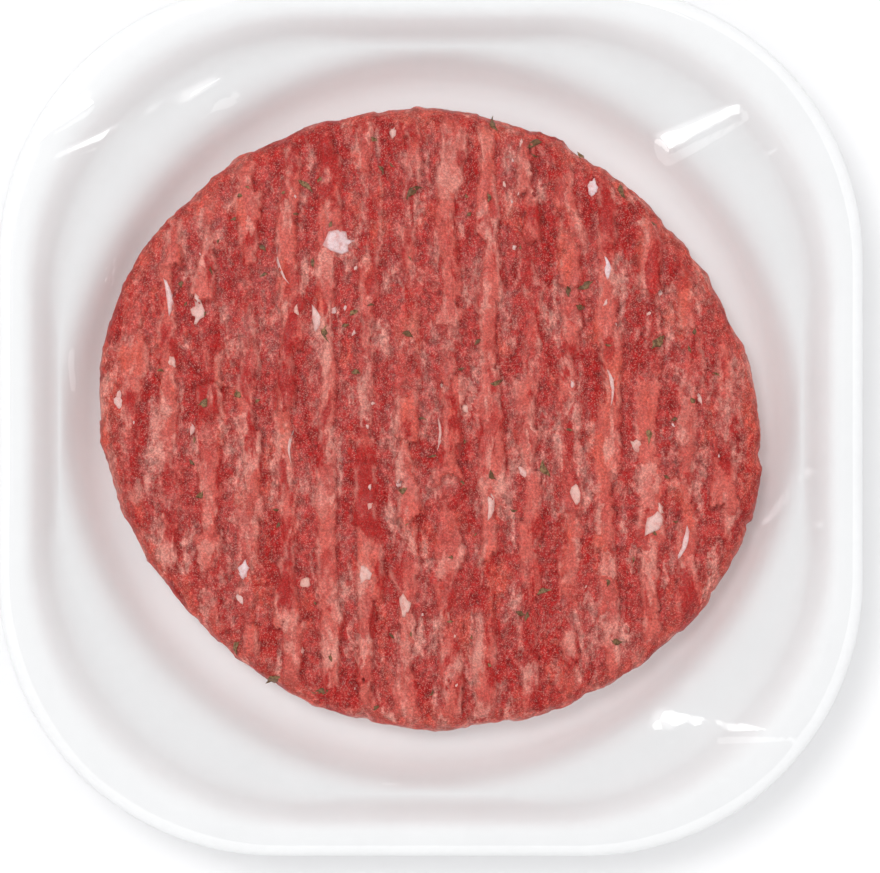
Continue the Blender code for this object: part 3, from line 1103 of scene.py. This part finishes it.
def flat_panel(name, centre, size, material):
    """A level rectangle on the stage, facing up, its size given along X and Y."""
    wide, deep = 0.5 * size[0], 0.5 * size[1]
    corners = [(-wide, -deep, 0), (wide, -deep, 0), (wide, deep, 0), (-wide, deep, 0)]
    mesh = bpy.data.meshes.new(name)
    mesh.from_pydata([tuple(np.add(c, centre)) for c in corners], [], [(0, 1, 2, 3)])
    mesh.materials.append(material)
    item = bpy.data.objects.new(name, mesh)
    bpy.context.scene.collection.objects.link(item)
    return item


def floor_material(look):
    """White floor that keeps the pack's shadow and lifts itself to white where it is seen."""
    material = bpy.data.materials.new("White floor")
    material.use_nodes = True
    nodes = Nodes(material.node_tree)
    material.node_tree.nodes.clear()
    matt = nodes.add("ShaderNodeBsdfDiffuse")
    matt.inputs["Color"].default_value = (*look.floor_colour, 1.0)
    glow = nodes.add("ShaderNodeEmission")
    path = nodes.add("ShaderNodeLightPath")
    seen = nodes.math("MAXIMUM", path.outputs["Is Camera Ray"], path.outputs["Is Glossy Ray"])
    seen = nodes.math("MAXIMUM", seen, path.outputs["Is Transmission Ray"])
    nodes.put(glow.inputs["Strength"], nodes.math("MULTIPLY", seen, look.floor_lift))
    both = nodes.add("ShaderNodeAddShader")
    nodes.link(matt.outputs[0], both.inputs[0])
    nodes.link(glow.outputs[0], both.inputs[1])
    result = nodes.add("ShaderNodeOutputMaterial")
    nodes.link(both.outputs[0], result.inputs["Surface"])
    return material


def area_light(name, place, aim, size, power):
    """A soft white square lamp at a place, turned to face a point."""
    data = bpy.data.lights.new(name, "AREA")
    data.shape = "RECTANGLE"
    data.size, data.size_y = size
    data.energy = power
    lamp = bpy.data.objects.new(name, data)
    bpy.context.scene.collection.objects.link(lamp)
    lamp.location = place
    away = np.subtract(place, aim)
    lamp.rotation_euler = (
        float(np.arctan2(np.hypot(away[0], away[1]), away[2])),
        0.0,
        float(np.arctan2(away[0], -away[1])),
    )
    return lamp


def studio_world(fill):
    """White surroundings: full white where they are seen, dimmer where they only light."""
    world = bpy.data.worlds.new("Studio")
    world.use_nodes = True
    nodes = Nodes(world.node_tree)
    background = world.node_tree.nodes["Background"]
    background.inputs["Color"].default_value = (1.0, 1.0, 1.0, 1.0)
    path = nodes.add("ShaderNodeLightPath")
    seen = nodes.math("MAXIMUM", path.outputs["Is Camera Ray"], path.outputs["Is Glossy Ray"])
    seen = nodes.math("MAXIMUM", seen, path.outputs["Is Transmission Ray"])
    strength = nodes.math("MULTIPLY_ADD", seen, 1.0 - fill)
    strength.node.inputs[2].default_value = fill
    nodes.put(background.inputs["Strength"], strength)
    bpy.context.scene.world = world


def flag_material():
    """Dull black card."""
    material, _, shader = new_material("Black card")
    shader.inputs["Base Color"].default_value = (0.02, 0.02, 0.02, 1.0)
    shader.inputs["Roughness"].default_value = 1.0
    shader.inputs["Specular IOR Level"].default_value = 0.0
    return material


def bright_material(look):
    """White card that glows, for the gleams on the film."""
    material = bpy.data.materials.new("Bright card")
    material.use_nodes = True
    nodes = Nodes(material.node_tree)
    material.node_tree.nodes.clear()
    glow = nodes.add("ShaderNodeEmission")
    glow.inputs["Strength"].default_value = look.gleam
    result = nodes.add("ShaderNodeOutputMaterial")
    nodes.link(glow.outputs[0], result.inputs["Surface"])
    return material


class PACK_OT_stage(Operator):
    """Set the floor, the black card over the lens, the lamps and the camera"""

    bl_idname = "pack.stage"
    bl_label = "Stage"

    def execute(self, context):
        look = context.scene.stage_look
        scene = context.scene
        flat_panel("stage_floor", (0.0, 0.0, 0.0), (6.0, 6.0), floor_material(look))
        card = flat_panel("lens_card", (0.0, 0.0, 0.80), (0.70, 0.70), flag_material())
        show_only_in_mirrors(card)
        bright = bright_material(look)
        for name, centre, size in (
            ("back_card", (-0.06, 0.40, 0.74), (0.40, 0.30)),
            ("left_card", (-0.42, 0.16, 0.74), (0.28, 0.36)),
        ):
            show_only_in_mirrors(flat_panel(name, centre, size, bright))
        studio_world(look.fill)
        area_light("Key", (-0.30, 0.32, 1.12), (0.0, 0.0, 0.0), (0.36, 0.36), look.key_power)
        data = bpy.data.cameras.new("Camera")
        data.lens = look.lens
        data.sensor_width = 36.0
        data.clip_start = 0.01
        data.dof.use_dof = False
        camera = bpy.data.objects.new("Camera", data)
        scene.collection.objects.link(camera)
        camera.location = (0.0016, -0.0029, RIM_TOP + look.camera_height)
        camera.rotation_euler = (0.0, 0.0, 0.0)
        scene.camera = camera
        scene.view_settings.view_transform = "Standard"
        return {"FINISHED"}


class PACK_PT_panel(Panel):
    """Lists the pieces of the pack"""

    bl_label = "Burger Pack"
    bl_idname = "PACK_PT_panel"
    bl_space_type = "VIEW_3D"
    bl_region_type = "UI"
    bl_category = "Burger Pack"

    def draw(self, context):
        for operator in OPERATORS:
            self.layout.operator(operator.bl_idname)


LOOKS = {
    "tray_look": TrayLook,
    "patty_look": PattyLook,
    "topping_look": ToppingLook,
    "film_look": FilmLook,
    "stage_look": StageLook,
}
OPERATORS = (
    PACK_OT_tray,
    PACK_OT_patty,
    PACK_OT_fat,
    PACK_OT_herbs,
    PACK_OT_film,
    PACK_OT_stage,
)


def register():
    for group in LOOKS.values():
        bpy.utils.register_class(group)
    for operator in OPERATORS:
        bpy.utils.register_class(operator)
    bpy.utils.register_class(PACK_PT_panel)
    for name, group in LOOKS.items():
        setattr(bpy.types.Scene, name, PointerProperty(type=group))


def unregister():
    for name in LOOKS:
        delattr(bpy.types.Scene, name)
    bpy.utils.unregister_class(PACK_PT_panel)
    for operator in reversed(OPERATORS):
        bpy.utils.unregister_class(operator)
    for group in reversed(list(LOOKS.values())):
        bpy.utils.unregister_class(group)


def main():
    register()
    for operator in OPERATORS:
        group, name = operator.bl_idname.split(".")
        getattr(getattr(bpy.ops, group), name)()


if __name__ == "__main__":
    main()
